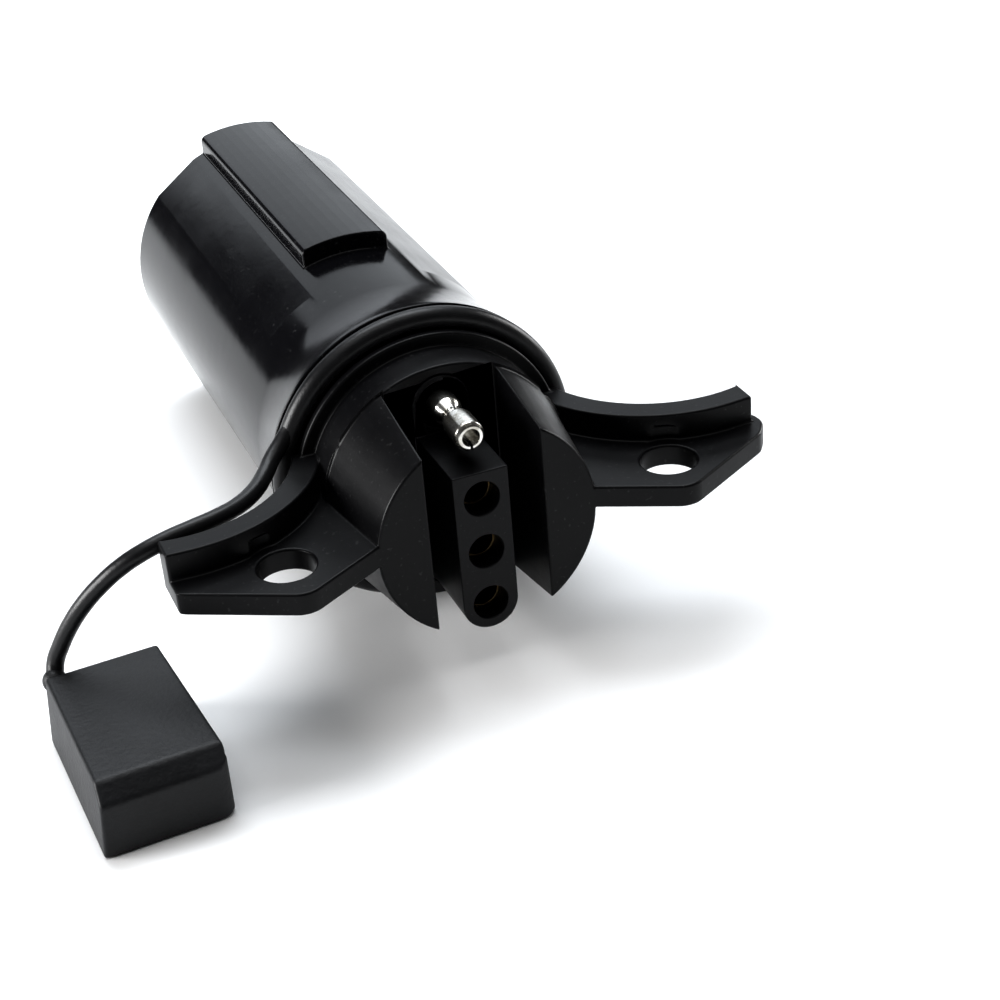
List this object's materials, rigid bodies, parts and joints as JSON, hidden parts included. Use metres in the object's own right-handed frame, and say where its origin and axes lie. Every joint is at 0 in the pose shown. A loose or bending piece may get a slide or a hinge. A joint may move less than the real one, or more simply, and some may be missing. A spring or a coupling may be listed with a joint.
{
  "type": "trailer wiring connector",
  "caption": "Trailer wiring adapter: round keyed plug at one end, flat connector under a split hood at the other, bolt-on wings and a tethered dust cap.",
  "frame": {"origin": "centre of the round plug's mouth, on the axis of its barrel", "axes": "+Y along the barrel, the way the plug goes into the vehicle's socket; +Z towards the key rail; -Y is the end with the flat connector"},
  "size_m": [0.112, 0.132, 0.0496],
  "materials": {
    "gloss_shell": "glossy moulded black plastic",
    "carrier_plastic": "semi-matte dark grey plastic",
    "block_plastic": "semi-matte black moulding",
    "brass": "formed brass sheet, slightly tarnished",
    "plated_pin": "bright tin plate",
    "plated_socket": "plain brass tube",
    "solder": "dull solder",
    "resin": "dark sealing resin",
    "wire_white": "white PVC insulation",
    "wire_brown": "brown PVC insulation",
    "wire_yellow": "yellow PVC insulation",
    "wire_green": "green PVC insulation",
    "tether_rubber": "smooth black rubber",
    "cap_rubber": "matte dark grey rubber"
  },
  "bodies": {
    "adapter": {"barrel_shell": "gloss_shell", "front_housing": "gloss_shell", "contact_carrier": "carrier_plastic", "ground_contact": "brass", "tail_light_contact": "brass", "left_turn_contact": "brass", "right_turn_contact": "brass", "solder_joints": "solder", "carrier_resin": "resin", "ground_wire": "wire_white", "tail_light_wire": "wire_brown", "left_turn_wire": "wire_yellow", "right_turn_wire": "wire_green", "socket_block": "block_plastic", "ground_pin": "plated_pin", "tail_light_socket": "plated_socket", "left_turn_socket": "plated_socket", "right_turn_socket": "plated_socket"},
    "tether": {"tether_ring": "tether_rubber", "tether": "tether_rubber"},
    "cap": {"dust_cap": "cap_rubber"}
  },
  "joints": [
    {"name": "tether_turn", "type": "hinge", "parent": "adapter", "child": "tether", "pos_m": [0, -0.09125, 0], "axis": [0, 1, 0], "range_deg": [-30, 150]},
    {"name": "cap_swing", "type": "hinge", "parent": "tether", "child": "cap", "pos_m": [-0.06255, -0.10134, -0.0148], "axis": [0, 0, 1], "range_deg": [-60, 25]}
  ]
}
